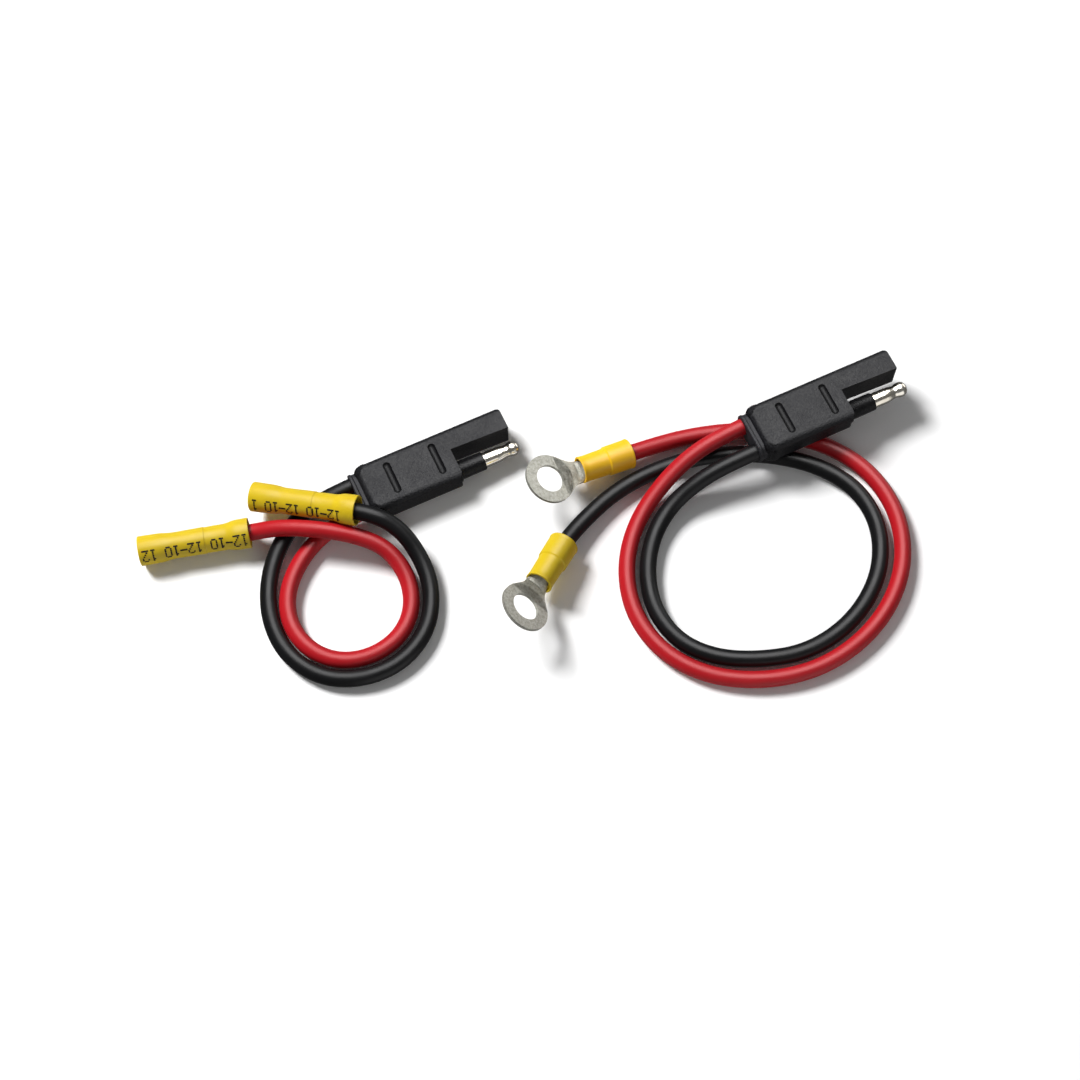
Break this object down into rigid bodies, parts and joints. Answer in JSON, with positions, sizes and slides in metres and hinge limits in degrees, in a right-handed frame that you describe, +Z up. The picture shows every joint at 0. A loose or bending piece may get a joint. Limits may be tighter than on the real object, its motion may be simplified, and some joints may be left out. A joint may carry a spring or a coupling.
{
  "type": "two-pole solar cable connector",
  "caption": "Flat two-pole quick-disconnect for solar and battery leads: two matching moulded halves, one with butt-spliced leads and one with ring-ended leads.",
  "frame": {"origin": "on the surface the set lies on, under the middle of the two moulded halves with their contacts", "axes": "+X is the way a half is plugged on to its mate, +Y is across the two contacts, +Z is up"},
  "size_m": [0.2244, 0.1202, 0.0173],
  "materials": {
    "housing_plastic": "fine moulded satin",
    "carrier_plastic": "moulded satin",
    "nickel_brass": "bright nickel plate on brass",
    "bare_copper": "bare stranded copper, drawn as one rod",
    "black_insulation": "glossy PVC",
    "red_insulation": "glossy PVC",
    "tinned_copper": "dull tin plate on copper",
    "yellow_vinyl": "semi-gloss vinyl"
  },
  "bodies": {
    "splice_half": {"splice_half_housing": "housing_plastic", "splice_half_carrier": "carrier_plastic", "splice_half_pin": "nickel_brass", "splice_half_socket": "nickel_brass", "black_splice_lead_insulation": "black_insulation", "black_splice_lead_conductor": "bare_copper", "red_splice_lead_insulation": "red_insulation", "red_splice_lead_conductor": "bare_copper", "black_splice_barrel": "tinned_copper", "black_splice_sleeve": "yellow_vinyl", "red_splice_barrel": "tinned_copper", "red_splice_sleeve": "yellow_vinyl"},
    "ring_half": {"ring_half_housing": "housing_plastic", "ring_half_carrier": "carrier_plastic", "ring_half_pin": "nickel_brass", "ring_half_socket": "nickel_brass", "black_ring_lead_insulation": "black_insulation", "black_ring_lead_conductor": "bare_copper", "red_ring_lead_insulation": "red_insulation", "red_ring_lead_conductor": "bare_copper", "black_ring_terminal": "tinned_copper", "black_ring_sleeve": "yellow_vinyl", "red_ring_terminal": "tinned_copper", "red_ring_sleeve": "yellow_vinyl"}
  },
  "joints": [
    {"name": "unplug_slide", "type": "slide", "parent": "splice_half", "child": "ring_half", "axis": [1, 0, 0], "range_m": [0, 0.018]}
  ]
}
